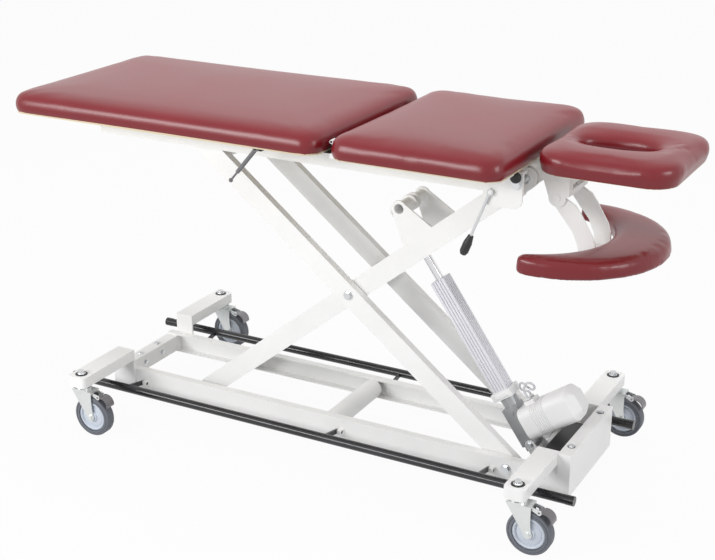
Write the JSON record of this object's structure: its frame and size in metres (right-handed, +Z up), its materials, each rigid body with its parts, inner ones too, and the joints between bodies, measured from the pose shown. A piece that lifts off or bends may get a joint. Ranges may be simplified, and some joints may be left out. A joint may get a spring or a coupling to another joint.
{
  "type": "chiropractic table",
  "caption": "Padded treatment table on a powered scissor lift, with tilting leg and head sections, a face opening, a hanging arm rest and braked casters.",
  "frame": {"origin": "On the floor, under the middle of the whole object", "axes": "+X runs along the table to the head end, +Y to the far side away from the levers, +Z up"},
  "size_m": [1.958, 0.814, 1.028],
  "materials": {
    "white_steel": "warm white powder coat",
    "zinc_steel": "zinc plated",
    "black_bar": "satin black",
    "black_plastic": "moulded, fine grain",
    "pedal_steel": "dark grey, worn",
    "grey_tyre": "smooth tread",
    "hub_plastic": "blue-grey moulding",
    "aluminium": "anodised extrusion",
    "grey_cast": "grey casting",
    "white_plastic": "white moulding",
    "grey_cable": "soft sheath",
    "chrome": "polished",
    "grey_plastic": "moulded",
    "plywood": "pale plywood",
    "vinyl": "glossy burgundy upholstery vinyl"
  },
  "bodies": {
    "base": {"base_rails": "white_steel", "base_rail_flanges": "white_steel", "head_end_box": "white_steel", "base_cross_members": "white_steel", "outriggers": "white_steel", "actuator_clevis": "white_steel", "base_hardware": "zinc_steel", "control_box": "black_plastic"},
    "switch_bar_near": {"switch_bar_near": "black_bar"},
    "switch_bar_far": {"switch_bar_far": "black_bar"},
    "caster_foot_near": {"fork_foot_near": "zinc_steel"},
    "wheel_foot_near": {"tyre_foot_near": "grey_tyre", "hub_foot_near": "hub_plastic"},
    "brake_foot_near": {"brake_foot_near": "pedal_steel"},
    "caster_foot_far": {"fork_foot_far": "zinc_steel"},
    "wheel_foot_far": {"tyre_foot_far": "grey_tyre", "hub_foot_far": "hub_plastic"},
    "brake_foot_far": {"brake_foot_far": "pedal_steel"},
    "caster_head_near": {"fork_head_near": "zinc_steel"},
    "wheel_head_near": {"tyre_head_near": "grey_tyre", "hub_head_near": "hub_plastic"},
    "brake_head_near": {"brake_head_near": "pedal_steel"},
    "caster_head_far": {"fork_head_far": "zinc_steel"},
    "wheel_head_far": {"tyre_head_far": "grey_tyre", "hub_head_far": "hub_plastic"},
    "brake_head_far": {"brake_head_far": "pedal_steel"},
    "outer_arms": {"outer_arm_near": "white_steel", "outer_arm_far": "white_steel", "outer_cross_tube": "white_steel", "scissor_pivot_bolts": "zinc_steel"},
    "inner_arms": {"inner_arm_near": "white_steel", "inner_arm_far": "white_steel", "inner_cross_tube": "white_steel"},
    "base_roller": {"base_roller_shaft": "zinc_steel"},
    "top_roller": {"top_roller_shaft": "zinc_steel"},
    "actuator": {"actuator_tube": "aluminium", "actuator_gearbox": "grey_cast", "actuator_collar": "white_plastic", "motor_housing": "white_plastic", "motor_cable": "grey_cable"},
    "actuator_rod": {"actuator_rod": "chrome"},
    "top_frame": {"top_rails": "white_steel", "top_bearers": "white_steel", "top_pivot_pins": "zinc_steel", "frame_end_plates": "white_steel", "mid_board": "plywood", "mid_pad": "vinyl"},
    "leg_section": {"leg_board": "plywood", "leg_pad": "vinyl", "leg_hardware": "black_bar"},
    "gas_cylinder": {"gas_spring_cylinder": "black_bar"},
    "gas_rod": {"gas_spring_rod": "chrome"},
    "leg_release": {"leg_release_lever": "grey_plastic"},
    "head_section": {"head_board": "plywood", "head_pad": "vinyl", "head_bracket": "white_steel"},
    "armrest": {"armrest_frame": "white_steel", "armrest_pad": "vinyl"},
    "head_release": {"head_lever": "zinc_steel", "head_lever_grip": "black_plastic"}
  },
  "joints": [
    {"name": "swivel_foot_near", "type": "hinge", "parent": "base", "child": "caster_foot_near", "pos_m": [-0.728, -0.377, 0.15], "axis": [0, 0, 1], "continuous": true},
    {"name": "spin_foot_near", "type": "hinge", "parent": "caster_foot_near", "child": "wheel_foot_near", "pos_m": [-0.688, -0.377, 0.0625], "axis": [0, 1, 0], "continuous": true},
    {"name": "brake_pedal_foot_near", "type": "hinge", "parent": "caster_foot_near", "child": "brake_foot_near", "pos_m": [-0.662, -0.377, 0.13], "axis": [0, 1, 0], "range_deg": [0, 12]},
    {"name": "swivel_foot_far", "type": "hinge", "parent": "base", "child": "caster_foot_far", "pos_m": [-0.728, 0.377, 0.15], "axis": [0, 0, 1], "continuous": true},
    {"name": "spin_foot_far", "type": "hinge", "parent": "caster_foot_far", "child": "wheel_foot_far", "pos_m": [-0.688, 0.377, 0.0625], "axis": [0, 1, 0], "continuous": true},
    {"name": "brake_pedal_foot_far", "type": "hinge", "parent": "caster_foot_far", "child": "brake_foot_far", "pos_m": [-0.662, 0.377, 0.13], "axis": [0, 1, 0], "range_deg": [0, 12]},
    {"name": "swivel_head_near", "type": "hinge", "parent": "base", "child": "caster_head_near", "pos_m": [0.686, -0.377, 0.15], "axis": [0, 0, 1], "continuous": true},
    {"name": "spin_head_near", "type": "hinge", "parent": "caster_head_near", "child": "wheel_head_near", "pos_m": [0.726, -0.377, 0.0625], "axis": [0, 1, 0], "continuous": true},
    {"name": "brake_pedal_head_near", "type": "hinge", "parent": "caster_head_near", "child": "brake_head_near", "pos_m": [0.752, -0.377, 0.13], "axis": [0, 1, 0], "range_deg": [0, 12]},
    {"name": "swivel_head_far", "type": "hinge", "parent": "base", "child": "caster_head_far", "pos_m": [0.686, 0.377, 0.15], "axis": [0, 0, 1], "continuous": true},
    {"name": "spin_head_far", "type": "hinge", "parent": "caster_head_far", "child": "wheel_head_far", "pos_m": [0.726, 0.377, 0.0625], "axis": [0, 1, 0], "continuous": true},
    {"name": "brake_pedal_head_far", "type": "hinge", "parent": "caster_head_far", "child": "brake_head_far", "pos_m": [0.752, 0.377, 0.13], "axis": [0, 1, 0], "range_deg": [0, 12]},
    {"name": "lift", "type": "hinge", "parent": "base", "child": "outer_arms", "pos_m": [0.564, 0, 0.095], "axis": [0, 1, 0], "range_deg": [-22, 0]},
    {"name": "scissor_pivot", "type": "hinge", "parent": "outer_arms", "child": "inner_arms", "pos_m": [0.05448, 0, 0.505], "axis": [0, 1, 0], "range_deg": [0, 44.1]},
    {"name": "top_pivot", "type": "hinge", "parent": "inner_arms", "child": "top_frame", "pos_m": [0.564, 0, 0.915], "axis": [0, 1, 0], "range_deg": [-22.1, 0]},
    {"name": "base_roller_spin", "type": "hinge", "parent": "inner_arms", "child": "base_roller", "pos_m": [-0.45505, 0, 0.095], "axis": [0, 1, 0], "continuous": true},
    {"name": "top_roller_spin", "type": "hinge", "parent": "outer_arms", "child": "top_roller", "pos_m": [-0.45505, 0, 0.915], "axis": [0, 1, 0], "continuous": true},
    {"name": "actuator_swing", "type": "hinge", "parent": "base", "child": "actuator", "pos_m": [0.584, 0, 0.115], "axis": [0, 1, 0], "range_deg": [-18.4, 0]},
    {"name": "actuator_stroke", "type": "slide", "parent": "actuator", "child": "actuator_rod", "axis": [-0.5698, 0, 0.8218], "range_m": [-0.171, 0]},
    {"name": "leg_tilt", "type": "hinge", "parent": "top_frame", "child": "leg_section", "pos_m": [0.078, 0, 0.988], "axis": [0, 1, 0], "range_deg": [0, 35]},
    {"name": "gas_spring_swing", "type": "hinge", "parent": "top_frame", "child": "gas_cylinder", "pos_m": [0.319, 0.2, 0.9], "axis": [0, 1, 0], "range_deg": [0, 4.8]},
    {"name": "gas_spring_stroke", "type": "slide", "parent": "gas_cylinder", "child": "gas_rod", "axis": [-0.9986, 0, 0.0521], "range_m": [0, 0.0405]},
    {"name": "leg_release_tilt", "type": "hinge", "parent": "leg_section", "child": "leg_release", "pos_m": [-0.151, -0.2685, 0.941], "axis": [0, 1, 0], "range_deg": [-15, 15], "stiffness_Nm_per_rad": 0.6},
    {"name": "head_tilt", "type": "hinge", "parent": "top_frame", "child": "head_section", "pos_m": [0.596, 0, 0.9555], "axis": [0, 1, 0], "range_deg": [-15, 40]},
    {"name": "armrest_swing", "type": "hinge", "parent": "head_section", "child": "armrest", "pos_m": [0.64, 0, 0.8655], "axis": [0, 1, 0], "range_deg": [-20, 15]},
    {"name": "head_release_tilt", "type": "hinge", "parent": "top_frame", "child": "head_release", "pos_m": [0.494, -0.1685, 0.887], "axis": [0, 1, 0], "range_deg": [-25, 25], "stiffness_Nm_per_rad": 0.8},
    {"name": "switch_bar_near_rock", "type": "hinge", "parent": "base", "child": "switch_bar_near", "pos_m": [-0.021, -0.166, 0.088], "axis": [1, 0, 0], "range_deg": [-3, 3], "stiffness_Nm_per_rad": 60},
    {"name": "switch_bar_far_rock", "type": "hinge", "parent": "base", "child": "switch_bar_far", "pos_m": [-0.021, 0.166, 0.088], "axis": [1, 0, 0], "range_deg": [-3, 3], "stiffness_Nm_per_rad": 60}
  ],
  "couplings": [
    {"joint": "scissor_pivot", "follows": "lift", "ratio": -2},
    {"joint": "top_pivot", "follows": "lift", "ratio": 1},
    {"joint": "actuator_swing", "follows": "lift", "ratio": 0.83319},
    {"joint": "actuator_stroke", "follows": "lift", "m_per_rad": 0.44358},
    {"joint": "gas_spring_swing", "follows": "leg_tilt", "ratio": 0.13433},
    {"joint": "gas_spring_stroke", "follows": "leg_tilt", "m_per_rad": 0.06561}
  ]
}
